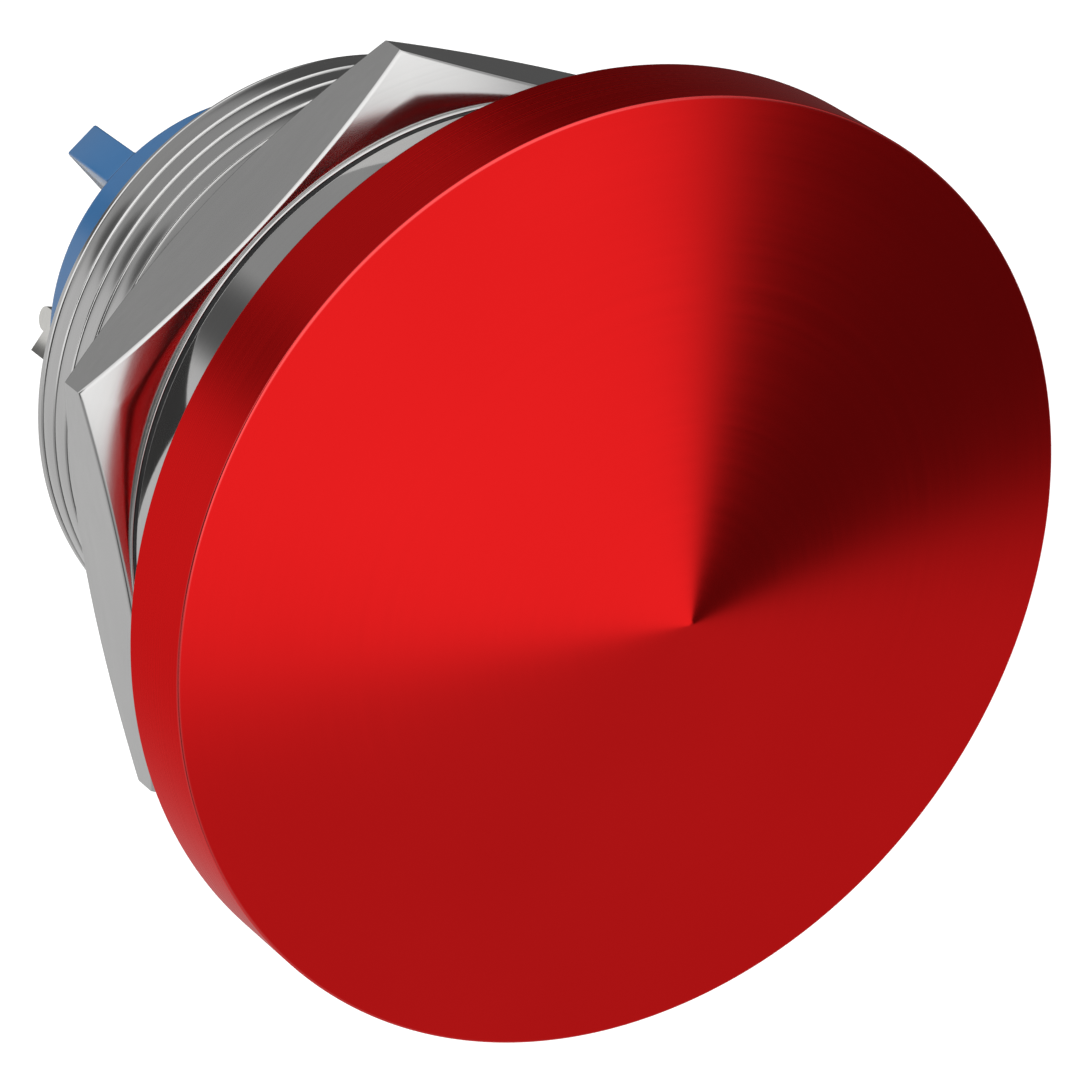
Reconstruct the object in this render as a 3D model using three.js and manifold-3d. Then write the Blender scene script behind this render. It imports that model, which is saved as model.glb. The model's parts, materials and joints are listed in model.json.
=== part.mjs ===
// Emergency stop button for a 25 mm panel hole: a red mushroom head on a threaded metal bushing,
// with a blue contact housing behind it.
//
// Millimetres, +Z up. The button's axis is Y: the head looks along -Y and the terminals along +Y.
// The origin is on that axis, in the plane of the flange's rear face, which is drawn up to the panel.

import * as THREE from "three";
import { mergeVertices } from "three/addons/utils/BufferGeometryUtils.js";
import Module from "manifold-3d";

const wasm = await Module();
wasm.setup();

// Driving dimensions.
const GAP = 0.3; // between neighbours that touch or run on each other
const BIG_SIDES = 60; // facets round a large turned piece
const SMALL_SIDES = 28; // facets round a small one

const CAP_R = 18.5; // mushroom head, 37 mm across
const CAP_RIM = 3.66; // height of the head's cylindrical rim
const CAP_RISE = 4.22; // height of the coned face above the rim
const CAP_REAR = -6.9; // rear edge of the head, released
const CAP_WALL = 1.5;
const CAP_BOSS_R = 5.5;

const TRAVEL = 3.0; // push of the head
const BALL_SINK = 0.75; // how far a latch ball drops into the stem's groove

const FLANGE_R = 14.7;
const FLANGE_T = 3.6;
const THREAD_R = 12.45; // M25 x 1 outside thread, held as a plain cylinder
const BARREL_END = 12.44;
const FRONT_BORE_R = 6.0;
const REAR_BORE_R = 9.0;
const REAR_BORE_START = 2.4;
const RING_GROOVE_R = 10.2;
const RING_GROOVE_T = 1.2;

const SEAM = 0.03; // between the flat pieces that are drawn up together
const GASKET_T = 0.27;
const GASKET_R = 14.68;
const WASHER_T = 0.2;
const WASHER_R = 14.72;
const LOOSE_R = THREAD_R + GAP; // bore of what slips over the thread

const NUT_FLATS = 29.7;
const NUT_T = 3.78;
const NUT_TURN = 38.2; // degrees from +X to the first corner
const NUT_CORNER_R = NUT_FLATS / 2 / Math.cos(Math.PI / 6);
const NUT_FRONT_R = 14.55; // edge of the flat front face
const NUT_DISH = [0.42, 0.02]; // rise of the dished front chamfer per mm and per mm squared
const NUT_REAR_R = 14.7; // edge of the flat rear face
const NUT_CHAMFER = 30; // degrees, on the rear face
const NUT_LEAD = 0.35; // countersink at each end of the nut's bore

const STEM_R = 3.5;
const STEM_TIP_R = 2.8;
const STEM_FRONT = -12.2;
const STEM_GROOVE_R = STEM_R - BALL_SINK;
const STEM_END = 8.6;
const CLIP_Y = 7.7;
const CLIP_T = 0.6;
const BALL_R = 1.2;
const BALL_Y = 5.5;
const SLEEVE_R = 6.1;
const SLEEVE_END = 7.4;
const COLLAR_T = 1.0;
const SEAL_REAR = -0.95;
const SEAL_T = 1.25;
const SEAL_WIDTH = 1.1;

const HOUSING_R = 8.6;
const HOUSING_BORE = 8.0;
const HOUSING_START = 4.0;
const HOUSING_END = 19.37;
const BASE_T = 1.5;
const BAR_ANGLES = [127.6, 307.6]; // degrees from +X towards +Z
const BAR_WIDTH = 1.6;
const BAR_INNER = 5.9;
const BAR_LENGTH = 3.46;

const BLADE_FACING = 140.6; // the blades stand square to this direction, in degrees from +X
const BLADE_T = 0.6;
const BLADE_WIDTH = 1.8;
const TAB_WIDTH = 2.0; // the blade widens into a tab behind the housing
const TAB_SIDE = 0.1; // and the tab is set sideways by this
const TAB_END = 22.6;
const TONGUE_FACING = 165; // a second, narrower tongue beside the tab is turned to face this way
const TONGUE_T = 0.5;
const TONGUE_WIDTH = 1.0;
const TONGUE_SIDE = -0.35;
const TONGUE_FLARE = 0.2; // how far out the tongue is set
const TONGUE_END = 23.3;
const FOOT_T = 0.5;
const FOOT_INNER = 4.2;
const NC = { angles: [188.7, 8.7], radius: 6.99, footY: 9.3 };
const NO = { angles: [94, 274], radius: 5.2, footY: 16.6 };

const CARRIER_START = STEM_END + GAP;
const CARRIER_R = 3.6;
const CARRIER_CORE_R = 2.4;
const CARRIER_BORE_R = 1.75;
const CARRIER_END = 14.25;
const BRIDGE_T = 0.6;
const BASE_START = HOUSING_END - GAP - BASE_T;
const BRIDGE_REACH = 5.2;
const NC_BRIDGE_Y = NC.footY + FOOT_T + GAP;
const NO_BRIDGE_Y = NO.footY - GAP - TRAVEL - BRIDGE_T;

// Materials.
const finish = (colour, roughness, metalness) =>
  new THREE.MeshStandardMaterial({ color: colour, roughness, metalness });
const redAnodised = finish(0xc4161a, 0.3, 0.8);
const nickel = finish(0xb9b8b4, 0.3, 1.0);
const steel = finish(0x9a9ca0, 0.35, 1.0);
const silver = finish(0xd8d7d2, 0.25, 1.0);
const blackRubber = finish(0x111112, 0.75, 0.0);
const bluePlastic = finish(0x3972a7, 0.4, 0.0);
const whitePlastic = finish(0xe6e4dc, 0.45, 0.0);
const blackResin = finish(0x1b1c1f, 0.5, 0.0);

// A solid of revolution about Y. The profile is a list of [radius, y], front edge first, then the
// outside, then the rear edge; it ends on the axis or closes on itself.
function turned(profile, sides) {
  const points = profile.map(([radius, y]) => new THREE.Vector2(radius, y));
  if (profile[0][0] > 0) points.push(points[0].clone());
  return new THREE.LatheGeometry(points, sides);
}

const ring = (inner, outer, start, end, sides) =>
  turned([[inner, start], [outer, start], [outer, end], [inner, end]], sides);

// A flat outline in the XZ plane, made thick between two values of y.
function plate(outline, start, end) {
  const geometry = new THREE.ExtrudeGeometry(outline, {
    depth: end - start,
    bevelEnabled: false,
    curveSegments: SMALL_SIDES / 4,
  });
  return geometry.rotateX(Math.PI / 2).translate(0, end, 0);
}

// A block lying outwards from the axis at an angle in degrees from +X towards +Z.
function radialBlock(inner, outer, width, start, end, angle) {
  const block = new THREE.BoxGeometry(outer - inner, end - start, width);
  block.translate((inner + outer) / 2, (start + end) / 2, 0);
  return block.rotateY(-THREE.MathUtils.degToRad(angle));
}

// A round bar along the radius at an angle in degrees from +X towards +Z.
function radialPin(radius, inner, outer, y, angle) {
  const pin = new THREE.CylinderGeometry(radius, radius, outer - inner, SMALL_SIDES);
  pin.rotateZ(Math.PI / 2).translate((inner + outer) / 2, y, 0);
  return pin.rotateY(-THREE.MathUtils.degToRad(angle));
}

function toManifold(geometry) {
  const bare = geometry.clone();
  bare.deleteAttribute("normal");
  bare.deleteAttribute("uv");
  const merged = mergeVertices(bare, 1e-4);
  const index = merged.index.array;
  const kept = [];
  for (let i = 0; i < index.length; i += 3) {
    const [a, b, c] = [index[i], index[i + 1], index[i + 2]];
    if (a !== b && b !== c && c !== a) kept.push(a, b, c);
  }
  return new wasm.Manifold(new wasm.Mesh({
    numProp: 3,
    vertProperties: new Float32Array(merged.attributes.position.array),
    triVerts: new Uint32Array(kept),
  }));
}

function toGeometry(solid) {
  const mesh = solid.getMesh();
  const geometry = new THREE.BufferGeometry();
  geometry.setAttribute("position", new THREE.BufferAttribute(mesh.vertProperties, 3));
  geometry.setIndex(new THREE.BufferAttribute(mesh.triVerts, 1));
  geometry.computeVertexNormals();
  return geometry;
}

const cutFrom = (geometry, tools) =>
  toGeometry(tools.reduce((left, tool) => left.subtract(toManifold(tool)), toManifold(geometry)));

// The red head: a shallow cone with a softly rounded tip, a straight rim and a hollow underside.
function mushroomCap() {
  const rimFront = CAP_REAR - CAP_RIM;
  const apex = rimFront - CAP_RISE;
  const fillet = 0.3;
  const slope = CAP_RISE / CAP_R;
  const face = [0, 0.08, 0.5, 0.8].map((share) => {
    const radius = share * CAP_R;
    const tip = 0.12 * Math.exp(-radius);
    return [radius, apex + slope * radius + tip];
  });
  const floor = CAP_REAR - 2.4;
  const bossRear = CAP_REAR - 0.24;
  const boreR = STEM_TIP_R + GAP;
  return turned([
    ...face,
    [CAP_R - fillet, rimFront - 0.1],
    [CAP_R, rimFront + fillet],
    [CAP_R, CAP_REAR - fillet],
    [CAP_R - fillet, CAP_REAR],
    [CAP_R - CAP_WALL, CAP_REAR],
    [CAP_R - CAP_WALL, floor],
    [CAP_BOSS_R, floor],
    [CAP_BOSS_R, bossRear],
    [boreR, bossRear],
    [boreR, STEM_FRONT - 0.2],
    [0, STEM_FRONT - 0.2],
  ], BIG_SIDES);
}

// The stem screws into the head. Its long tapered groove takes the latch balls as it goes in.
function stem() {
  return turned([
    [0, STEM_FRONT],
    [STEM_TIP_R, STEM_FRONT],
    [STEM_TIP_R, CAP_REAR],
    [STEM_R, CAP_REAR],
    [STEM_R, BALL_Y - TRAVEL - BALL_R],
    [STEM_GROOVE_R, BALL_Y - TRAVEL - BALL_R + 0.3],
    [STEM_GROOVE_R, BALL_Y - TRAVEL],
    [STEM_R, BALL_Y],
    [STEM_R, CLIP_Y],
    [STEM_R - 0.6, CLIP_Y],
    [STEM_R - 0.6, CLIP_Y + CLIP_T],
    [STEM_R, CLIP_Y + CLIP_T],
    [STEM_R, STEM_END],
    [0, STEM_END],
  ], SMALL_SIDES);
}

// An open ring: a full one with a gap cut through it at the given angle.
function openRing(inner, outer, start, end, gapWidth, angle) {
  const slot = radialBlock(inner - 1, outer + 1, gapWidth, start - 1, end + 1, angle);
  return cutFrom(ring(inner, outer, start, end, SMALL_SIDES), [slot]);
}

function bushing() {
  return turned([
    [FRONT_BORE_R, -FLANGE_T],
    [FLANGE_R - 0.5, -FLANGE_T],
    [FLANGE_R, -FLANGE_T + 0.5],
    [FLANGE_R, 0],
    [THREAD_R, 0],
    [THREAD_R, BARREL_END - 0.4],
    [THREAD_R - 0.4, BARREL_END],
    [RING_GROOVE_R, BARREL_END],
    [RING_GROOVE_R, BARREL_END - RING_GROOVE_T],
    [REAR_BORE_R, BARREL_END - RING_GROOVE_T],
    [REAR_BORE_R, REAR_BORE_START],
    [FRONT_BORE_R, REAR_BORE_START],
  ], BIG_SIDES);
}

// The plastic sleeve that guides the stem, holds the seal in front and the latch balls behind.
function guideSleeve() {
  const bore = STEM_R + 0.25;
  const sealSeatR = bore + SEAL_WIDTH + 0.25;
  const sealSeatEnd = SEAL_REAR + 0.25;
  const collar = REAR_BORE_START + GAP;
  const front = 0.2 - FLANGE_T;
  const body = turned([
    [sealSeatR, front],
    [FRONT_BORE_R - GAP, front],
    [FRONT_BORE_R - GAP, collar],
    [REAR_BORE_R - 0.6, collar],
    [REAR_BORE_R - 0.6, collar + COLLAR_T],
    [SLEEVE_R, collar + COLLAR_T],
    [SLEEVE_R, SLEEVE_END],
    [bore, SLEEVE_END],
    [bore, sealSeatEnd],
    [sealSeatR, sealSeatEnd],
  ], 36);
  return cutFrom(body, [radialPin(BALL_R + 0.25, -8, 8, BALL_Y, 0)]);
}

function latchBall(side) {
  const ball = new THREE.SphereGeometry(BALL_R, 16, 10);
  return ball.translate(side * (STEM_R + BALL_R + 0.25), BALL_Y, 0);
}

function panelNut() {
  const start = GASKET_T + WASHER_T + 2 * SEAM;
  const end = start + NUT_T;
  const outline = new THREE.Shape();
  for (let corner = 0; corner < 6; corner += 1) {
    const angle = THREE.MathUtils.degToRad(NUT_TURN + 60 * corner);
    const [x, z] = [NUT_CORNER_R * Math.cos(angle), NUT_CORNER_R * Math.sin(angle)];
    if (corner === 0) outline.moveTo(x, z);
    else outline.lineTo(x, z);
  }
  const dish = [0, 0.5, 1.0, 1.5, 2.0, 2.5, 3.0].map((out) =>
    [NUT_FRONT_R + out, start + NUT_DISH[0] * out + NUT_DISH[1] * out * out]);
  const over = NUT_CORNER_R + 2 - NUT_REAR_R;
  const chamfers = turned([
    [0, start],
    ...dish,
    [NUT_REAR_R + over, end - over * Math.tan(THREE.MathUtils.degToRad(NUT_CHAMFER))],
    [NUT_REAR_R, end],
    [0, end],
  ], BIG_SIDES);
  const bore = turned([
    [0, start - 1],
    [LOOSE_R + NUT_LEAD + 1, start - 1],
    [LOOSE_R, start + NUT_LEAD],
    [LOOSE_R, end - NUT_LEAD],
    [LOOSE_R + NUT_LEAD + 1, end + 1],
    [0, end + 1],
  ], BIG_SIDES);
  const prism = plate(outline, start - 1, end + 1);
  return toGeometry(toManifold(prism).intersect(toManifold(chamfers)).subtract(toManifold(bore)));
}

// The blue housing: a thin tube with two bars standing out behind it.
function contactHousing() {
  const tube = ring(HOUSING_BORE, HOUSING_R, HOUSING_START, HOUSING_END, BIG_SIDES);
  const flush = HOUSING_R - 0.08;
  const bars = BAR_ANGLES.flatMap((angle) => [
    radialBlock(BAR_INNER, flush, BAR_WIDTH, HOUSING_END - 0.02, HOUSING_END + BAR_LENGTH, angle),
    radialBlock(HOUSING_BORE + 0.1, flush, BAR_WIDTH, HOUSING_END - 1, HOUSING_END, angle),
  ]);
  return toGeometry(bars.reduce((left, bar) => left.add(toManifold(bar)), toManifold(tube)));
}

// A block at an angle and radius, turned so that its thin side faces the given way. It can be moved
// outwards, along BLADE_FACING, and sideways, across it.
function bladeBlock(angle, radius, size, start, end, move = [0, 0], facing = BLADE_FACING) {
  const [thickness, width] = size;
  const [outwards, sideways] = move;
  const way = THREE.MathUtils.degToRad(BLADE_FACING);
  const turn = THREE.MathUtils.degToRad(angle);
  const side = Math.sign(Math.cos(turn - way));
  const [x, z] = [side * Math.cos(way), side * Math.sin(way)];
  const block = new THREE.BoxGeometry(thickness, end - start, width);
  block.rotateY(-THREE.MathUtils.degToRad(facing));
  return block.translate(
    radius * Math.cos(turn) + outwards * x - sideways * z,
    (start + end) / 2,
    radius * Math.sin(turn) + outwards * z + sideways * x,
  );
}

// A terminal: a foot that carries the fixed contact, a blade, a wider tab and a tongue for the wire.
function terminal(angle, radius, footY) {
  const tabStart = HOUSING_END + GAP;
  const parts = [
    bladeBlock(angle, radius, [BLADE_T, BLADE_WIDTH], footY, tabStart + 1),
    bladeBlock(angle, radius, [BLADE_T, TAB_WIDTH], tabStart, TAB_END, [0, TAB_SIDE]),
    bladeBlock(angle, radius, [TONGUE_T, TONGUE_WIDTH], TAB_END - 0.9, TONGUE_END,
      [TONGUE_FLARE, TONGUE_SIDE], TONGUE_FACING),
    radialBlock(FOOT_INNER, radius, BLADE_WIDTH, footY, footY + FOOT_T, angle),
  ];
  return toGeometry(parts.map(toManifold).reduce((left, part) => left.add(part)));
}

// The resin disc that closes the housing, with a slot for each terminal.
function terminalBase() {
  const disc = ring(0.9, HOUSING_BORE - GAP, BASE_START, BASE_START + BASE_T, 36);
  const slots = [NC, NO].flatMap(({ angles, radius }) => angles.map((angle) =>
    bladeBlock(angle, radius, [BLADE_T + 0.2, BLADE_WIDTH + 0.2], BASE_START - 1, HOUSING_END)));
  return cutFrom(disc, slots);
}

// A moving contact: a ring round the carrier with an arm to each side.
function bridge(start, angle) {
  const ringR = 3.9;
  const reach = BRIDGE_REACH;
  const half = 1.0;
  const meet = Math.asin(half / ringR);
  const outline = new THREE.Shape();
  outline.moveTo(reach, -half);
  outline.lineTo(reach, half);
  outline.absarc(0, 0, ringR, meet, Math.PI - meet, false);
  outline.lineTo(-reach, half);
  outline.lineTo(-reach, -half);
  outline.absarc(0, 0, ringR, Math.PI + meet, 2 * Math.PI - meet, false);
  const hole = new THREE.Path();
  hole.absarc(0, 0, CARRIER_CORE_R + GAP, 0, 2 * Math.PI, true);
  outline.holes.push(hole);
  return plate(outline, start, start + BRIDGE_T).rotateY(-THREE.MathUtils.degToRad(angle));
}

// The carrier that the stem pushes: three collars hold the two bridges, the bore holds the spring.
function contactCarrier() {
  const collars = [
    [CARRIER_START, NC_BRIDGE_Y - GAP],
    [NC_BRIDGE_Y + BRIDGE_T + GAP, NO_BRIDGE_Y - GAP],
    [NO_BRIDGE_Y + BRIDGE_T + GAP, CARRIER_END],
  ];
  const outside = collars.flatMap(([start, end], i) => [
    [i === 0 ? 0 : CARRIER_CORE_R, start],
    [CARRIER_R, start],
    [CARRIER_R, end],
    [i === 2 ? CARRIER_BORE_R : CARRIER_CORE_R, end],
  ]);
  return turned([...outside, [CARRIER_BORE_R, CARRIER_START + 1.1], [0, CARRIER_START + 1.1]], SMALL_SIDES);
}

const PIECES = {
  mushroom_cap: [mushroomCap(), redAnodised],
  stem: [stem(), steel],
  stem_circlip: [openRing(STEM_R - 0.35, 4.0, CLIP_Y + 0.1, CLIP_Y + CLIP_T - 0.1, 4, 270), steel],
  stem_seal: [
    ring(STEM_R + 0.25, STEM_R + 0.25 + SEAL_WIDTH, SEAL_REAR - SEAL_T, SEAL_REAR, SMALL_SIDES),
    blackRubber,
  ],
  bushing: [bushing(), nickel],
  guide_sleeve: [guideSleeve(), whitePlastic],
  latch_ball_right: [latchBall(1), steel],
  latch_ball_left: [latchBall(-1), steel],
  latch_spring: [openRing(SLEEVE_R + 0.35, SLEEVE_R + 0.8, BALL_Y - 0.5, BALL_Y + 0.5, 1.5, 90), steel],
  panel_gasket: [ring(LOOSE_R, GASKET_R, 0.02, GASKET_T, BIG_SIDES), blackRubber],
  clamp_washer: [
    ring(LOOSE_R, WASHER_R, GASKET_T + SEAM, GASKET_T + SEAM + WASHER_T, BIG_SIDES),
    nickel,
  ],
  panel_nut: [panelNut(), nickel],
  retaining_ring: [
    openRing(HOUSING_R + 0.25, RING_GROOVE_R - 0.3, BARREL_END - 0.9, BARREL_END - 0.2, 3, 200),
    steel,
  ],
  contact_housing: [contactHousing(), bluePlastic],
  terminal_base: [terminalBase(), blackResin],
  nc_terminal_left: [terminal(NC.angles[0], NC.radius, NC.footY), silver],
  nc_terminal_right: [terminal(NC.angles[1], NC.radius, NC.footY), silver],
  no_terminal_upper: [terminal(NO.angles[0], NO.radius, NO.footY), silver],
  no_terminal_lower: [terminal(NO.angles[1], NO.radius, NO.footY), silver],
  contact_carrier: [contactCarrier(), whitePlastic],
  nc_bridge: [bridge(NC_BRIDGE_Y, NC.angles[0]), silver],
  no_bridge: [bridge(NO_BRIDGE_Y, NO.angles[0]), silver],
  return_spring: [ring(1.1, 1.5, CARRIER_START + 1.4, BASE_START - 0.2, SMALL_SIDES), steel],
};

const button = new THREE.Group();
for (const [name, [geometry, material]] of Object.entries(PIECES)) {
  const mesh = new THREE.Mesh(geometry, material);
  mesh.name = name;
  button.add(mesh);
}

export default button;
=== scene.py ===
"""The looks of an emergency stop button: red mushroom head, nickel bushing and nut, blue contact housing.

The CAD model is in metres here. Profiles are written in millimetres as (radius, y) about the Y axis,
with the head towards -Y, and every turned piece is made by revolved().
"""

import json
import math

import bmesh
import bpy
from mathutils import Matrix, Vector

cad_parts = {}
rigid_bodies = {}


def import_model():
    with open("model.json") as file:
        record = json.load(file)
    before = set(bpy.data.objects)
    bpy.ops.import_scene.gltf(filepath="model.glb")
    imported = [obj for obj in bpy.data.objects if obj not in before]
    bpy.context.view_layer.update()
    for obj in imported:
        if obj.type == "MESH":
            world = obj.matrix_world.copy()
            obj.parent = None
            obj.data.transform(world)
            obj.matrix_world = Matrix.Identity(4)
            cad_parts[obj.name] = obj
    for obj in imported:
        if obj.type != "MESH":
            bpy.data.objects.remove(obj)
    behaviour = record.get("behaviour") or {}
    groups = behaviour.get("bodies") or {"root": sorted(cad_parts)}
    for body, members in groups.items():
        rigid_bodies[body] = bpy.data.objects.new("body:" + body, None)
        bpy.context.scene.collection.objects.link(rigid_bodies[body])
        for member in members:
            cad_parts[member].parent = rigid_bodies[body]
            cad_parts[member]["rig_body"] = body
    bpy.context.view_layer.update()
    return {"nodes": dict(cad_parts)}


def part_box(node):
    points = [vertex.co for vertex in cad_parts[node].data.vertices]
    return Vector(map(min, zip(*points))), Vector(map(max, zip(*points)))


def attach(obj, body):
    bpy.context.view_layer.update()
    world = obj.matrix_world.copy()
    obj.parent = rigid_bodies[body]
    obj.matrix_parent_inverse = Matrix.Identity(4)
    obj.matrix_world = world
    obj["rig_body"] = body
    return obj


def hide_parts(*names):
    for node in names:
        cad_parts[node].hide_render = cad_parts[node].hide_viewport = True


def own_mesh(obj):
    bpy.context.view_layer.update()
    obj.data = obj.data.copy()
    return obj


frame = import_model()

VIEW_AZIMUTH = math.radians(-30.63)
VIEW_ELEVATION = math.radians(25.75)
VIEW_BACK, VIEW_RIGHT, VIEW_UP = 12, -0.174, 0.077  # from the rim's centre, in radii of the head
VIEW_LENS = 203.5

MM = 0.001
FINE = 320  # facets round a large turned piece
MEDIUM = 160
SMALL = 72


def span(node):
    """The first and last y of a CAD node and its largest radius, in millimetres."""
    low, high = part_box(node)
    return low.y / MM, high.y / MM, (high.x - low.x) / 2 / MM


CAP_FRONT, CAP_REAR, CAP_R = span("mushroom_cap")
FLANGE_FRONT, BARREL_END, FLANGE_R = span("bushing")
GASKET_FRONT, GASKET_REAR, GASKET_R = span("panel_gasket")
WASHER_FRONT, WASHER_REAR, WASHER_R = span("clamp_washer")
NUT_FRONT, NUT_REAR, _ = span("panel_nut")
HOUSING_FRONT, _, HOUSING_R = span("contact_housing")
BASE_FRONT, BASE_REAR, BASE_R = span("terminal_base")
STEM_FRONT, STEM_REAR, STEM_R = span("stem")
SLEEVE_FRONT, SLEEVE_REAR, SLEEVE_R = span("guide_sleeve")
SEAL_FRONT, SEAL_REAR, SEAL_R = span("stem_seal")
_, _, RING_R = span("retaining_ring")
SPRING_FRONT, SPRING_REAR, SPRING_R = span("return_spring")

CAP_RIM = 3.66  # width of the head's side
CAP_WALL = 1.5
CAP_HOLLOW = 2.4
CONE_END = 0.955  # share of the head's radius where the cone meets the edge's round
BOSS_R = 5.5
BOSS_SET_BACK = 0.24
STEM_SOCKET_R = 3.1
STEM_TIP_R = 2.8
STEM_GROOVE_R = 2.75
STEM_GROOVE = (1.3, 1.6, 2.5, 5.5)  # y of its steep front, its floor and the end of its slope
CLIP_GROOVE_R = 2.9
CLIP_GROOVE = (7.7, 8.3)
SLEEVE_BORE_R = 5.1
SLEEVE_FRONT_R = 5.7
SLEEVE_REAR_R = 6.1
SLEEVE_HOLE_R = 3.75
SLEEVE_STEP = -0.7
BALL_HOLE_R = 1.45
THREAD_R = 12.55
THREAD_PITCH = 1.0
THREAD_PHASE = 0.52
THREAD_DEPTH = 0.06
# One turn of the thread in section: place along the pitch and share of the depth.
THREAD_SHAPE = (
    (0.0, 1.0), (0.012, 0.8), (0.024, 0.3), (0.034, 0.05), (0.05, 0.0), (0.3, -0.05), (0.45, -0.05),
    (0.6, 0.03), (0.72, 0.14), (0.81, 0.32), (0.9, 0.6), (0.97, 0.9),
)
SLIP_R = 12.75
REAR_BORE_R = 9.0
FRONT_BORE_R = 6.0
REAR_BORE_FRONT = 2.4
RING_GROOVE_R = 10.2
NUT_FLATS = 29.7
NUT_TURN = math.radians(38.2)
NUT_FRONT_R = 14.55
NUT_REAR_R = 14.7
NUT_SLOPE = math.tan(math.radians(30))
NUT_DISH = (0.42, 0.02)
NUT_EDGE = (0.11, 0.08)  # size of the softened edges, front and rear
BASE_HOLE_R = 0.9
BASE_DIP = 0.28
HOUSING_REAR = BASE_REAR + 0.3
HOUSING_BORE = 8.0
BAR_ANGLES = (127.6, 307.6)
BAR_WIDTH = 1.6
BAR_INNER = 5.9
BAR_LENGTH = 3.46
BLADE_FACING = math.radians(140.6)
BLADE_T = 0.6
BLADE_WIDTH = 1.8
TAB_WIDTH = 2.0
TAB_SIDE = 0.1
TAB_END = 22.6
TONGUE_FACING = math.radians(165)
TONGUE_T = 0.5
TONGUE_WIDTH = 1.0
TONGUE_SIDE = -0.35
TONGUE_FLARE = 0.2
TONGUE_END = 23.28
FOOT_INNER = 4.2
FOOT_T = 0.5
TERMINALS = {  # angle in degrees, radius and first y
    "nc_terminal_left": (188.7, 6.99, 9.3),
    "nc_terminal_right": (8.7, 6.99, 9.3),
    "no_terminal_upper": (94, 5.2, 16.6),
    "no_terminal_lower": (274, 5.2, 16.6),
}


# ---------------------------------------------------------------- camera


def place_camera():
    """The camera looks at the head from its upper left, with a long lens."""
    back = Vector((
        math.sin(VIEW_AZIMUTH) * math.cos(VIEW_ELEVATION),
        -math.cos(VIEW_AZIMUTH) * math.cos(VIEW_ELEVATION),
        math.sin(VIEW_ELEVATION),
    ))
    right = Vector((math.cos(VIEW_AZIMUTH), math.sin(VIEW_AZIMUTH), 0))
    up = back.cross(right)
    rim_centre = Vector((0, CAP_REAR - CAP_RIM, 0)) * MM
    place = rim_centre + CAP_R * MM * (VIEW_BACK * back + VIEW_RIGHT * right + VIEW_UP * up)
    camera = bpy.data.objects.new("camera", bpy.data.cameras.new("camera"))
    camera.data.sensor_width = 36
    camera.data.lens = VIEW_LENS
    camera.data.clip_start = 0.01
    camera.matrix_world = Matrix((
        (right.x, up.x, back.x, place.x),
        (right.y, up.y, back.y, place.y),
        (right.z, up.z, back.z, place.z),
        (0, 0, 0, 1),
    ))
    bpy.context.scene.collection.objects.link(camera)
    bpy.context.scene.camera = camera


# ---------------------------------------------------------------- node helpers


class Nodes:
    """A short way to write a node tree: each call adds a node and sets or links its inputs."""

    def __init__(self, tree):
        self.tree = tree
        self.tree.nodes.clear()

    def add(self, kind, inputs=None, **settings):
        node = self.tree.nodes.new(kind)
        for name, value in settings.items():
            setattr(node, name, value)
        for name, value in (inputs or {}).items():
            socket = node.inputs[name]
            if isinstance(value, bpy.types.NodeSocket):
                self.tree.links.new(value, socket)
            else:
                socket.default_value = value
        return node

    def math(self, operation, first, second=0.0):
        return self.add("ShaderNodeMath", {0: first, 1: second}, operation=operation).outputs[0]

    def noise(self, vector, scale, detail=4.0, rough=0.6):
        inputs = {"Vector": vector, "Scale": scale, "Detail": detail, "Roughness": rough}
        return self.add("ShaderNodeTexNoise", inputs).outputs["Fac"]

    def remap(self, value, low, high, new_low, new_high, smooth=False):
        inputs = {"Value": value, "From Min": low, "From Max": high, "To Min": new_low, "To Max": new_high}
        kind = "SMOOTHSTEP" if smooth else "LINEAR"
        return self.add("ShaderNodeMapRange", inputs, interpolation_type=kind).outputs["Result"]

    def between(self, share, first, second):
        """A number that goes from the first to the second as share goes from 0 to 1."""
        return self.add("ShaderNodeMix", {0: share, 2: first, 3: second}, data_type="FLOAT").outputs[0]

    def blend(self, share, first, second):
        """The same for two colours."""
        return self.add("ShaderNodeMix", {0: share, 6: first, 7: second}, data_type="RGBA").outputs[2]

    def place(self):
        return self.add("ShaderNodeTexCoord").outputs["Object"]

    def radius(self, place):
        """The distance from the button's axis."""
        parts = self.add("ShaderNodeSeparateXYZ", {"Vector": place}).outputs
        flat = self.add("ShaderNodeCombineXYZ", {"X": parts["X"], "Y": parts["Z"], "Z": 0.0}).outputs[0]
        return self.add("ShaderNodeVectorMath", {0: flat}, operation="LENGTH").outputs["Value"]

    def along(self, place):
        return self.add("ShaderNodeSeparateXYZ", {"Vector": place}).outputs["Y"]


def colour(red, green, blue):
    return (red, green, blue, 1.0)


def new_material(name):
    material = bpy.data.materials.new(name)
    material.use_nodes = True
    return material, Nodes(material.node_tree)


def close(nodes, settings, height, strength, distance):
    """Ends a material with a principled shader, bumped by height."""
    bump = nodes.add("ShaderNodeBump", {"Height": height, "Strength": strength, "Distance": distance})
    shader = nodes.add("ShaderNodeBsdfPrincipled", {**settings, "Normal": bump.outputs["Normal"]})
    nodes.add("ShaderNodeOutputMaterial", {"Surface": shader.outputs["BSDF"]})


def turning_marks(nodes, place, lines_per_metre):
    """Fine rings left by the lathe: noise that changes with radius and along the axis, not round it."""
    coordinate = nodes.add("ShaderNodeCombineXYZ", {
        "X": nodes.radius(place), "Y": nodes.along(place), "Z": 0.0,
    }).outputs[0]
    return nodes.noise(coordinate, lines_per_metre, detail=6.0, rough=0.75)


# ---------------------------------------------------------------- materials


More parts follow.
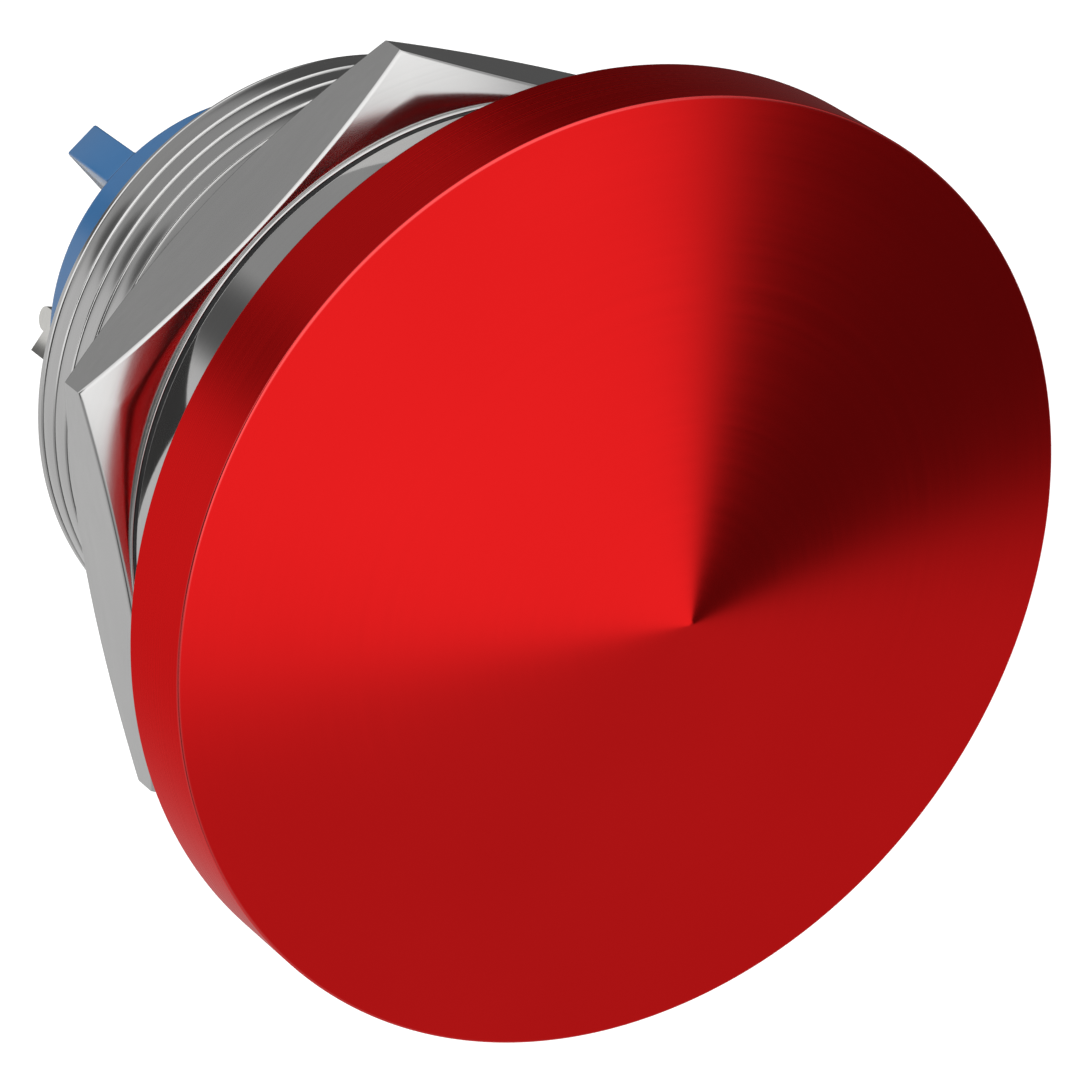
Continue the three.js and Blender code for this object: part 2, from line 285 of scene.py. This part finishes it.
def red_anodised():
    """Red anodising over turned metal, with a painted highlight that makes it lighter along the front edge of
    the rim; rougher on the side.
    """
    material, nodes = new_material("red_anodised")
    place = nodes.place()
    marks = turning_marks(nodes, place, 2600)
    cloud = nodes.noise(place, 60, detail=2.0)
    share = nodes.remap(cloud, 0.3, 0.7, 0, 1)
    dye = nodes.blend(share, colour(0.765, 0.0122, 0.0128), colour(0.805, 0.0136, 0.0142))
    # Painted highlight: edge is a thin band round the rim's front edge, where tint blends a lighter red over
    # the dye.
    outwards = nodes.math("SUBTRACT", nodes.radius(place), CAP_R * MM)
    behind = nodes.math("SUBTRACT", nodes.along(place), (CAP_REAR - CAP_RIM) * MM)
    squares = nodes.math(
        "ADD", nodes.math("MULTIPLY", outwards, outwards), nodes.math("MULTIPLY", behind, behind))
    edge = nodes.remap(nodes.math("SQRT", squares), 0.05 * MM, 0.11 * MM, 0.8, 0, smooth=True)
    tint = nodes.blend(edge, dye, colour(0.95, 0.09, 0.09))
    side = nodes.remap(outwards, -0.1 * MM, 0, 0, 1)
    face_rough = nodes.remap(marks, 0.2, 0.8, 0.16, 0.21)
    rim_rough = nodes.remap(marks, 0.2, 0.8, 0.24, 0.3)
    close(nodes, {
        "Base Color": tint,
        "Metallic": 1.0,
        "Specular Tint": colour(1, 0.5, 0.5),
        "Roughness": nodes.between(side, face_rough, rim_rough),
        "Anisotropic": 0.4,
        "Tangent": nodes.add("ShaderNodeTangent", direction_type="RADIAL", axis="Y").outputs[0],
    }, marks, 0.04, 0.00001)
    return material


def nickel():
    """Nickel plate: satin on the thread and nut, nearly polished on the flange."""
    material, nodes = new_material("nickel")
    place = nodes.place()
    marks = turning_marks(nodes, place, 2600)
    cloud = nodes.noise(place, 140, detail=2.0)
    worn = nodes.math("MULTIPLY", nodes.math("ADD", marks, cloud), 0.5)
    behind = nodes.remap(nodes.along(place), 0, 0.4 * MM, 0, 1)
    satin = nodes.remap(worn, 0.3, 0.7, 0.11, 0.16)
    polished = nodes.remap(worn, 0.3, 0.7, 0.05, 0.08)
    roughness = nodes.between(behind, polished, satin)
    share = nodes.remap(worn, 0.35, 0.65, 0, 1)
    tint = nodes.blend(share, colour(0.56, 0.556, 0.552), colour(0.61, 0.606, 0.60))
    close(nodes, {"Base Color": tint, "Metallic": 1.0, "Roughness": roughness}, marks, 0.025, 0.000005)
    return material


def turned_metal(name, dark, light, rough_low, rough_high, marks_scale, depth):
    """Machined metal with lathe rings and a little cloudiness."""
    material, nodes = new_material(name)
    place = nodes.place()
    marks = turning_marks(nodes, place, marks_scale)
    cloud = nodes.noise(place, 180, detail=3.0)
    worn = nodes.math("MULTIPLY", nodes.math("ADD", marks, cloud), 0.5)
    close(nodes, {
        "Base Color": nodes.blend(nodes.remap(worn, 0.35, 0.65, 0, 1), colour(*dark), colour(*light)),
        "Metallic": 1.0,
        "Roughness": nodes.remap(worn, 0.3, 0.7, rough_low, rough_high),
    }, marks, 0.12, depth)
    return material


def moulded(name, dark, light, rough, grain_scale, coat):
    """Moulded plastic: a fine even grain, slight mottling and soft gloss."""
    material, nodes = new_material(name)
    place = nodes.place()
    grain = nodes.noise(place, grain_scale, detail=5.0)
    mottle = nodes.noise(place, 90, detail=2.0)
    close(nodes, {
        "Base Color": nodes.blend(nodes.remap(mottle, 0.35, 0.65, 0, 1), colour(*dark), colour(*light)),
        "Roughness": nodes.remap(grain, 0.3, 0.7, rough - 0.05, rough + 0.07),
        "Specular IOR Level": 0.3,
        "Coat Weight": coat,
        "Coat Roughness": 0.08,
    }, grain, 0.08, 0.00002)
    return material


def rubber():
    """Dull black rubber with a little dust on it."""
    material, nodes = new_material("black_rubber")
    place = nodes.place()
    grain = nodes.noise(place, 5200, detail=6.0)
    dust = nodes.remap(nodes.noise(place, 400, detail=3.0), 0.45, 0.75, 0, 1)
    close(nodes, {
        "Base Color": nodes.blend(dust, colour(0.006, 0.006, 0.007), colour(0.02, 0.02, 0.021)),
        "Roughness": nodes.remap(grain, 0.3, 0.7, 0.55, 0.75),
    }, grain, 0.3, 0.00004)
    return material


def floor_paint():
    material, nodes = new_material("floor_paint")
    shade = nodes.noise(nodes.place(), 3.0, detail=2.0)
    tint = nodes.blend(shade, colour(0.86, 0.86, 0.86), colour(0.88, 0.88, 0.88))
    shader = nodes.add("ShaderNodeBsdfPrincipled", {
        "Base Color": tint, "Roughness": 0.9, "Specular IOR Level": 0.1,
        "Emission Color": colour(1, 1, 1), "Emission Strength": 0.42,
    })
    nodes.add("ShaderNodeOutputMaterial", {"Surface": shader.outputs["BSDF"]})
    return material


MATERIALS = {
    "red_anodised": red_anodised(),
    "nickel": nickel(),
    "steel": turned_metal("steel", (0.47, 0.48, 0.50), (0.60, 0.61, 0.63), 0.24, 0.38, 3800, 0.00003),
    "silver": turned_metal("silver", (0.72, 0.71, 0.68), (0.84, 0.83, 0.80), 0.08, 0.14, 1500, 0.000005),
    "black_rubber": rubber(),
    "blue_plastic": moulded("blue_plastic", (0.026, 0.150, 0.375), (0.030, 0.165, 0.40), 0.34, 1800, 1.0),
    "white_plastic": moulded("white_plastic", (0.70, 0.69, 0.64), (0.78, 0.77, 0.72), 0.42, 2000, 0.1),
    "black_resin": moulded("black_resin", (0.010, 0.011, 0.013), (0.018, 0.019, 0.022), 0.30, 700, 0.4),
}


# ---------------------------------------------------------------- mesh helpers


def link_mesh(name, vertices, faces, sharp=28):
    mesh = bpy.data.meshes.new(name)
    mesh.from_pydata([(x * MM, y * MM, z * MM) for x, y, z in vertices], [], faces)
    tidy = bmesh.new()
    tidy.from_mesh(mesh)
    bmesh.ops.remove_doubles(tidy, verts=tidy.verts, dist=1e-7)
    bmesh.ops.recalc_face_normals(tidy, faces=tidy.faces)
    tidy.to_mesh(mesh)
    tidy.free()
    mesh.shade_smooth()
    mesh.set_sharp_from_angle(angle=math.radians(sharp))
    piece = bpy.data.objects.new(name, mesh)
    bpy.context.scene.collection.objects.link(piece)
    return piece


def revolved(name, rings, sides, start=0.0, sharp=28):
    """A closed solid of revolution about Y. A ring is (radius, y), or a function of the angle that
    gives them. A ring on the axis is one point; if the rings don't meet the axis, the last joins the first.
    The first and last columns of points are welded, so a ring may be one turn of a helix."""
    vertices, rows = [], []
    for ring in rings:
        row = []
        for step in range(sides + 1):
            angle = start + 2 * math.pi * step / sides
            radius, y = ring(angle) if callable(ring) else ring
            row.append(len(vertices))
            vertices.append((radius * math.cos(angle), y, radius * math.sin(angle)))
        rows.append(row)
    if callable(rings[0]) or rings[0][0] > 0:
        rows.append(rows[0])
    faces = []
    for here, there in zip(rows, rows[1:]):
        for step in range(sides):
            faces.append((here[step], here[step + 1], there[step + 1], there[step]))
    return link_mesh(name, vertices, faces, sharp)


def filleted(profile, steps=4):
    """A profile of (radius, y) or (radius, y, fillet), with each fillet made into an arc. A point just
    before and after each arc keeps the shading of the straight parts straight."""
    points = []
    count = len(profile)
    for i, corner in enumerate(profile):
        if len(corner) == 2:
            points.append(corner)
            continue
        here = Vector(corner[:2])
        before = (Vector(profile[i - 1][:2]) - here).normalized()
        after = (Vector(profile[(i + 1) % count][:2]) - here).normalized()
        half = before.angle(after) / 2
        centre = here + (before + after).normalized() * corner[2] / math.sin(half)
        first = here + before * corner[2] / math.tan(half) - centre
        last = here + after * corner[2] / math.tan(half) - centre
        turn = first.angle(last)
        guard = 0.25 * corner[2]
        points.append(tuple(centre + first + before * guard))
        for step in range(steps + 1):
            share = step / steps
            spoke = (first * math.sin((1 - share) * turn) + last * math.sin(share * turn)) / math.sin(turn)
            points.append(tuple(centre + spoke))
        points.append(tuple(centre + last + after * guard))
    return points


def annulus(inner, outer, front, rear, fillet):
    corners = [(inner, front, fillet), (outer, front, fillet), (outer, rear, fillet), (inner, rear, fillet)]
    return filleted(corners)


def block(name, inner, outer, width, front, rear, angle):
    """A box that lies outwards from the axis at an angle, in degrees from +X towards +Z."""
    turn = math.radians(angle)
    out, side = (math.cos(turn), math.sin(turn)), (-math.sin(turn), math.cos(turn))
    vertices = []
    for radius in (inner, outer):
        for y in (front, rear):
            for half in (-width / 2, width / 2):
                vertices.append((radius * out[0] + half * side[0], y, radius * out[1] + half * side[1]))
    faces = [(0, 1, 3, 2), (4, 5, 7, 6), (0, 1, 5, 4), (2, 3, 7, 6), (0, 2, 6, 4), (1, 3, 7, 5)]
    return link_mesh(name, vertices, faces)


def apply_modifiers(piece):
    ready = piece.evaluated_get(bpy.context.evaluated_depsgraph_get())
    mesh = bpy.data.meshes.new_from_object(ready)
    piece.modifiers.clear()
    piece.data = mesh
    return piece


def combine(piece, tool, operation):
    """Cuts or joins a tool, which is used up."""
    modifier = piece.modifiers.new("combine", "BOOLEAN")
    modifier.operation = operation
    modifier.solver = "EXACT"
    modifier.object = tool
    apply_modifiers(piece)
    bpy.data.objects.remove(tool)
    return piece


def bevelled(piece, width, segments=3, limit=25):
    modifier = piece.modifiers.new("bevel", "BEVEL")
    modifier.width = width * MM
    modifier.segments = segments
    modifier.limit_method = "ANGLE"
    modifier.angle_limit = math.radians(limit)
    modifier.harden_normals = True
    return apply_modifiers(piece)


def dress(piece, node, slot):
    """The piece stands for a CAD node: it rides on the same body and takes that slot's finish."""
    body = frame["nodes"][node]["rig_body"]
    piece.data.materials.clear()
    piece.data.materials.append(MATERIALS[slot])
    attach(piece, body)
    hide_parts(node)


# ---------------------------------------------------------------- pieces


def head():
    """The cone of the face, its fine edge, the straight rim and the hollow underside with its boss."""
    rim_front = CAP_REAR - CAP_RIM
    rise = rim_front - CAP_FRONT
    face = [(0, CAP_FRONT + 0.02)]
    for share in (0.004, 0.01, 0.02, 0.05, 0.1, 0.2, 0.35, 0.5, 0.65, 0.8, 0.9, CONE_END):
        face.append((share * CAP_R, CAP_FRONT + rise * share))
    ceiling = CAP_REAR - CAP_HOLLOW
    boss_rear = CAP_REAR - BOSS_SET_BACK
    rest = filleted([
        (CONE_END * CAP_R, CAP_FRONT + rise * CONE_END),
        (CAP_R, rim_front, 0.1),
        (CAP_R, CAP_REAR, 0.1),
        (CAP_R - CAP_WALL, CAP_REAR, 0.25),
        (CAP_R - CAP_WALL, ceiling, 0.6),
        (BOSS_R, ceiling, 0.5),
        (BOSS_R, boss_rear, 0.3),
        (STEM_SOCKET_R, boss_rear, 0.2),
        (STEM_SOCKET_R, STEM_FRONT - 0.2),
        (0, STEM_FRONT - 0.2),
    ], steps=5)
    dress(revolved("head_shell", face + rest[1:], FINE), "mushroom_cap", "red_anodised")


def thread_rings(front, rear, crest, groove, fade_length):
    """Rings that follow the helix of a right-handed thread: a negative groove cuts inwards. The groove
    fades out at both ends, and what would reach past an end is flattened onto it."""

    def ring_at(first_y, depth):
        def ring(angle):
            y = first_y - THREAD_PITCH * angle / (2 * math.pi)
            y = min(max(y, front), rear)
            fade = min(1.0, (y - front) / fade_length, (rear - y) / fade_length)
            return (crest + groove * depth * fade, y)

        return ring

    rings = []
    first_turn = math.floor(front / THREAD_PITCH) - 1
    last_turn = math.ceil(rear / THREAD_PITCH) + 2
    for turn in range(first_turn, last_turn):
        for place, depth in THREAD_SHAPE:
            rings.append(ring_at((turn + THREAD_PHASE + place) * THREAD_PITCH, depth))
    return rings


def bushing():
    """The flange, the helical thread and the bores behind it, as one nickel-plated piece."""
    front_part = filleted([
        (FRONT_BORE_R, 0),
        (FRONT_BORE_R, FLANGE_FRONT, 0.2),
        (FLANGE_R - 0.4, FLANGE_FRONT, 0.2),
        (FLANGE_R, FLANGE_FRONT + 0.4, 0.2),
        (FLANGE_R, 0, 0.06),
        (THREAD_R, 0),
        (THREAD_R, 0.3),
    ])
    threads = thread_rings(0.4, BARREL_END - 0.16, THREAD_R, -THREAD_DEPTH, 0.25)
    rear_part = filleted([
        (THREAD_R, BARREL_END - 0.12),
        (THREAD_R - 0.14, BARREL_END, 0.05),
        (RING_GROOVE_R, BARREL_END, 0.1),
        (RING_GROOVE_R, BARREL_END - 1.2),
        (REAR_BORE_R, BARREL_END - 1.2, 0.1),
        (REAR_BORE_R, REAR_BORE_FRONT, 0.2),
        (FRONT_BORE_R, REAR_BORE_FRONT, 0.2),
        (FRONT_BORE_R, 1),
    ])
    dress(revolved("bushing_body", front_part + threads + rear_part, FINE), "bushing", "nickel")


def nut():
    """The hexagon with a dished chamfer in front, a plain one behind and the thread inside it."""
    front_edge, rear_edge = NUT_EDGE

    def flat_radius(angle):
        turn = (angle - NUT_TURN) % (math.pi / 3) - math.pi / 6
        return NUT_FLATS / 2 / math.cos(turn)

    def front_y(radius):
        out = max(0.0, radius - NUT_FRONT_R)
        return NUT_FRONT + (NUT_DISH[0] + NUT_DISH[1] * out) * out

    def rear_y(radius):
        return NUT_REAR - max(0.0, radius - NUT_REAR_R) * NUT_SLOPE

    def chamfer_at(share):
        def ring(angle):
            radius = NUT_FRONT_R + (flat_radius(angle) - 1.3 * front_edge - NUT_FRONT_R) * share
            return (radius, front_y(radius))

        return ring

    def on_flat(height, below):
        return lambda angle: (flat_radius(angle), height(flat_radius(angle)) + below)

    def soft_edge(height, size, way, share):
        """A point round the edge between a chamfer and a flat: way is 1 from the front, -1 from the rear."""

        def ring(angle):
            flat = flat_radius(angle)
            start = (flat - size, height(flat - size))
            middle = (flat, height(flat))
            end = (flat, height(flat) + way * size)
            return tuple(
                (1 - share) ** 2 * first + 2 * share * (1 - share) * second + share ** 2 * third
                for first, second, third in zip(start, middle, end))

        return ring

    lead = 0.5  # chamfer at each end of the bore
    bore = thread_rings(NUT_FRONT + lead, NUT_REAR - lead, SLIP_R, THREAD_DEPTH, 0.3)
    rings = [
        (SLIP_R + lead, NUT_FRONT),
        *[chamfer_at(share) for share in (0, 0.5, 1)],
        *[soft_edge(front_y, front_edge, 1, share) for share in (0, 0.2, 0.4, 0.6, 0.8, 1)],
        on_flat(front_y, 1.3 * front_edge),
        on_flat(rear_y, -1.3 * rear_edge),
        *[soft_edge(rear_y, rear_edge, -1, share) for share in (1, 0.67, 0.33, 0)],
        (NUT_REAR_R - rear_edge, NUT_REAR),
        (SLIP_R + lead, NUT_REAR),
    ] + bore[::-1]
    dress(revolved("nut_body", rings, 384, start=NUT_TURN), "panel_nut", "nickel")


def gasket():
    rings = annulus(SLIP_R, GASKET_R, GASKET_FRONT, GASKET_REAR, 0.06)
    dress(revolved("gasket_ring", rings, FINE), "panel_gasket", "black_rubber")


def washer():
    rings = annulus(SLIP_R, WASHER_R, WASHER_FRONT, WASHER_REAR, 0.08)
    dress(revolved("washer_ring", rings, FINE), "clamp_washer", "nickel")


def stem():
    """The rod, with its tapered groove for the latch balls and a square one for the circlip."""
    groove_front, floor_front, floor_rear, groove_rear = STEM_GROOVE
    clip_front, clip_rear = CLIP_GROOVE
    profile = [
        (0, STEM_FRONT),
        (STEM_TIP_R, STEM_FRONT, 0.3),
        (STEM_TIP_R, CAP_REAR),
        (STEM_R, CAP_REAR, 0.2),
        (STEM_R, groove_front),
        (STEM_GROOVE_R, floor_front, 0.2),
        (STEM_GROOVE_R, floor_rear),
        (STEM_R, groove_rear),
        (STEM_R, clip_front),
        (CLIP_GROOVE_R, clip_front),
        (CLIP_GROOVE_R, clip_rear),
        (STEM_R, clip_rear),
        (STEM_R, STEM_REAR, 0.15),
        (0, STEM_REAR),
    ]
    dress(revolved("stem_rod", filleted(profile), SMALL), "stem", "steel")


def seal():
    """A lip seal: a flat ring with a lip that leans on the stem."""
    rings = filleted([
        (STEM_R + 0.25, SEAL_FRONT, 0.1),
        (STEM_R + 0.55, SEAL_FRONT, 0.1),
        (STEM_R + 0.75, SEAL_FRONT + 0.45, 0.1),
        (SEAL_R, SEAL_FRONT + 0.3, 0.15),
        (SEAL_R, SEAL_REAR, 0.1),
        (STEM_R + 0.4, SEAL_REAR, 0.1),
    ])
    dress(revolved("seal_lip", rings, SMALL), "stem_seal", "black_rubber")


def guide_sleeve():
    """The sleeve with its collar, its wide front bore for the seal and a cross hole for the balls."""
    collar = REAR_BORE_FRONT + 0.3
    rings = filleted([
        (SLEEVE_BORE_R, SLEEVE_FRONT, 0.1),
        (SLEEVE_FRONT_R, SLEEVE_FRONT, 0.15),
        (SLEEVE_FRONT_R, collar, 0.1),
        (SLEEVE_R, collar, 0.15),
        (SLEEVE_R, collar + 1, 0.15),
        (SLEEVE_REAR_R, collar + 1, 0.15),
        (SLEEVE_REAR_R, SLEEVE_REAR, 0.2),
        (SLEEVE_HOLE_R, SLEEVE_REAR, 0.2),
        (SLEEVE_HOLE_R, SLEEVE_STEP),
        (SLEEVE_BORE_R, SLEEVE_STEP, 0.1),
    ])
    piece = revolved("sleeve_body", rings, MEDIUM)
    ball_front, ball_rear, _ = span("latch_ball_right")
    ball_y = (ball_front + ball_rear) / 2
    drill = revolved("drill", [(0, -8), (BALL_HOLE_R, -8), (BALL_HOLE_R, 8), (0, 8)], 48)
    drill.data.transform(Matrix.Translation((0, ball_y * MM, 0)) @ Matrix.Rotation(math.pi / 2, 4, "Z"))
    dress(combine(piece, drill, "DIFFERENCE"), "guide_sleeve", "white_plastic")


def open_ring(name, node, inner, outer, gap_width, angle, slot, fillet):
    """A round ring with a gap cut through it."""
    front, rear, _ = span(node)
    ring = revolved(name, annulus(inner, outer, front, rear, fillet), MEDIUM)
    cutter = block("cutter", inner - 1, outer + 1, gap_width, front - 1, rear + 1, angle)
    dress(combine(ring, cutter, "DIFFERENCE"), node, slot)


def housing():
    """The blue tube and the two bars that stand out behind it."""
    rings = annulus(HOUSING_BORE, HOUSING_R, HOUSING_FRONT, HOUSING_REAR, 0.18)
    piece = revolved("housing_tube", rings, MEDIUM)
    flush = HOUSING_R - 0.08
    for angle in BAR_ANGLES:
        root = block("root", HOUSING_BORE + 0.1, flush, BAR_WIDTH, HOUSING_REAR - 1, HOUSING_REAR, angle)
        combine(piece, root, "UNION")
        bar = block("bar", BAR_INNER, flush, BAR_WIDTH, HOUSING_REAR - 0.02, HOUSING_REAR + BAR_LENGTH, angle)
        combine(piece, bevelled(bar, 0.1), "UNION")
    piece.data.shade_smooth()
    piece.data.set_sharp_from_angle(angle=math.radians(28))
    dress(piece, "contact_housing", "blue_plastic")


def blade_solid(name, angle, radius, outline, thickness, outwards=0.0, facing=BLADE_FACING):
    """An outline of (across, y) made thick the way it faces, and moved outwards and across."""
    turn = math.radians(angle)
    side = math.copysign(1, math.cos(turn - BLADE_FACING))
    sideways = sum(across for across, _ in outline) / len(outline)
    way = (side * math.cos(BLADE_FACING), side * math.sin(BLADE_FACING))
    centre_x = radius * math.cos(turn) + outwards * way[0] - sideways * way[1]
    centre_z = radius * math.sin(turn) + outwards * way[1] + sideways * way[0]
    out = (side * math.cos(facing), side * math.sin(facing))
    vertices = []
    for depth in (-thickness / 2, thickness / 2):
        for across, y in outline:
            x = centre_x + depth * out[0] - (across - sideways) * out[1]
            z = centre_z + depth * out[1] + (across - sideways) * out[0]
            vertices.append((x, y, z))
    count = len(outline)
    faces = [tuple(range(count)), tuple(range(2 * count - 1, count - 1, -1))]
    for step in range(count):
        after = (step + 1) % count
        faces.append((step, after, count + after, count + step))
    return link_mesh(name, vertices, faces)


def strip(centre, width, start, end):
    left, right = centre - width / 2, centre + width / 2
    return [(left, start), (right, start), (right, end), (left, end)]


def rounded_end(centre, width, start, end):
    """A strip from start to end with a half-round end."""
    half = width / 2
    outline = [(centre - half, start), (centre + half, start)]
    for step in range(17):
        turn = math.pi * step / 16
        outline.append((centre + half * math.cos(turn), end - half + half * math.sin(turn)))
    return outline


def terminal_base():
    """The cast resin that closes the housing: its face dips a little in the middle."""
    rings = [(BASE_HOLE_R, BASE_FRONT), (BASE_R, BASE_FRONT), (BASE_R, BASE_REAR)]
    for share in (0.97, 0.9, 0.8, 0.6, 0.4, 0.25):
        rings.append((BASE_R * share, BASE_REAR - BASE_DIP * (1 - share ** 6)))
    rings.append((BASE_HOLE_R, BASE_REAR - 0.2))
    piece = revolved("base_disc", rings, MEDIUM)
    for angle, radius, _ in TERMINALS.values():
        outline = strip(0, BLADE_WIDTH + 0.2, BASE_FRONT - 1, BASE_REAR + 1)
        combine(piece, blade_solid("slot", angle, radius, outline, BLADE_T + 0.2), "DIFFERENCE")
    dress(piece, "terminal_base", "black_resin")


def terminal(node, angle, radius, foot):
    """A blade with a wider tab, a tongue beside it for the wire and a foot that carries the contact."""
    tab_start = HOUSING_REAR + 0.3
    outline = strip(0, BLADE_WIDTH, foot + 0.03, tab_start + 1)
    blade = blade_solid(node + "_blade", angle, radius, outline, BLADE_T)
    tab = blade_solid("tab", angle, radius, strip(TAB_SIDE, TAB_WIDTH, tab_start, TAB_END), BLADE_T - 0.01)
    combine(blade, tab, "UNION")
    outline = rounded_end(TONGUE_SIDE, TONGUE_WIDTH, TAB_END - 0.9, TONGUE_END)
    tongue = blade_solid("tongue", angle, radius, outline, TONGUE_T, TONGUE_FLARE, TONGUE_FACING)
    combine(blade, tongue, "UNION")
    arm = block("arm", FOOT_INNER, radius, BLADE_WIDTH, foot, foot + FOOT_T, angle)
    combine(blade, arm, "UNION")
    dress(bevelled(blade, 0.05, 2, limit=35), node, "silver")


def return_spring():
    """A wire wound between the carrier and the base, with closed turns at both ends."""
    wire, turns, steps, ease = 0.2, 9, 40, 0.35
    start, length = SPRING_FRONT + wire, SPRING_REAR - SPRING_FRONT - 2 * wire
    curve = bpy.data.curves.new("return_spring_wire", "CURVE")
    curve.dimensions = "3D"
    curve.bevel_depth = wire * MM
    curve.bevel_resolution = 3
    curve.use_fill_caps = True
    line = curve.splines.new("POLY")
    line.points.add(turns * steps)
    for step in range(turns * steps + 1):
        share = step / (turns * steps)
        angle = 2 * math.pi * turns * share
        eased = share - math.sin(4 * math.pi * share) / (4 * math.pi) * ease
        radius = SPRING_R - wire
        line.points[step].co = (
            radius * math.cos(angle) * MM, (start + length * eased) * MM, radius * math.sin(angle) * MM, 1)
    coil = bpy.data.objects.new("return_spring_wire", curve)
    bpy.context.scene.collection.objects.link(coil)
    piece = bpy.data.objects.new("return_spring_coil", bpy.data.meshes.new_from_object(coil))
    bpy.context.scene.collection.objects.link(piece)
    bpy.data.objects.remove(coil)
    dress(piece, "return_spring", "steel")
    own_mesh(piece)


def keep_cad(nodes, slot):
    """Hidden pieces whose CAD shape is right: they take the finished material."""
    for node in nodes:
        mesh = frame["nodes"][node].data
        mesh.materials.clear()
        mesh.materials.append(MATERIALS[slot])


# ---------------------------------------------------------------- studio


def floor():
    """A plain pale floor, which the metal doesn't mirror."""
    size, level = 3.0, -0.12
    mesh = bpy.data.meshes.new("floor")
    corners = [(-size, -size, level), (size, -size, level), (size, size, level), (-size, size, level)]
    mesh.from_pydata(corners, [], [(0, 1, 2, 3)])
    mesh.materials.append(floor_paint())
    piece = bpy.data.objects.new("floor", mesh)
    piece.visible_glossy = False
    bpy.context.scene.collection.objects.link(piece)


SURROUND = 0.42
# Soft studio panels: direction, half angle of the full part, half angle where it ends, brightness.
PANELS = [
    ((-0.3, 0.2, 1.0), 30, 75, 1.15),
    ((0.6, 0.75, 0.1), 30, 60, 0.10),
    ((-0.2, -0.8, 0.45), 30, 55, 1.45),
    ((0.15, -0.95, -0.02), 22, 34, 1.04),
    ((0.86, -0.52, -0.05), 21, 27, 0.10),
    ((0.0, 0.0, -1.0), 60, 66, 0.53),
    ((-0.32, 0.78, -0.55), 15, 40, 0.65),
    ((-0.31, 0.78, 0.55), 15, 36, 0.38),
    ((-0.63, 0.78, -0.06), 8, 22, 0.71),
    ((-0.52, 0.78, 0.36), 3, 11, 0.12),
    ((-0.97, -0.05, 0.2), 18, 32, 0.08),
    ((-0.67, -0.37, -0.60), 8, 22, 0.12),
]


def studio():
    """A grey surround with soft panels in it, later ones over earlier ones. The camera sees plain white."""
    world = bpy.data.worlds.new("studio")
    world.use_nodes = True
    nodes = Nodes(world.node_tree)
    direction = nodes.add("ShaderNodeTexCoord").outputs["Generated"]
    level = SURROUND
    for towards, inner, outer, brightness in PANELS:
        inputs = {0: direction, 1: tuple(Vector(towards).normalized())}
        dot = nodes.add("ShaderNodeVectorMath", inputs, operation="DOT_PRODUCT").outputs["Value"]
        low, high = math.cos(math.radians(outer)), math.cos(math.radians(inner))
        share = nodes.remap(dot, low, high, 0, 1, smooth=True)
        level = nodes.between(share, level, brightness)
    seen = nodes.add("ShaderNodeLightPath").outputs["Is Camera Ray"]
    shown = nodes.between(seen, level, 1.0)
    background = nodes.add("ShaderNodeBackground", {"Color": colour(1, 1, 1), "Strength": shown})
    nodes.add("ShaderNodeOutputWorld", {"Surface": background.outputs["Background"]})
    bpy.context.scene.world = world
    bpy.context.scene.view_settings.view_transform = "Standard"


place_camera()
floor()
studio()
head()
bushing()
nut()
gasket()
washer()
stem()
seal()
guide_sleeve()
open_ring("retaining_ring_wire", "retaining_ring", HOUSING_R + 0.25, RING_R, 3, 200, "steel", 0.15)
open_ring("stem_clip", "stem_circlip", STEM_R - 0.35, 4.0, 4, 270, "steel", 0.1)
open_ring("latch_spring_ring", "latch_spring", 6.45, 6.9, 1.5, 90, "steel", 0.1)
housing()
terminal_base()
for node_name, (node_angle, node_radius, node_foot) in TERMINALS.items():
    terminal(node_name, node_angle, node_radius, node_foot)
return_spring()
keep_cad(["latch_ball_right", "latch_ball_left"], "steel")
keep_cad(["nc_bridge", "no_bridge"], "silver")
keep_cad(["contact_carrier"], "white_plastic")
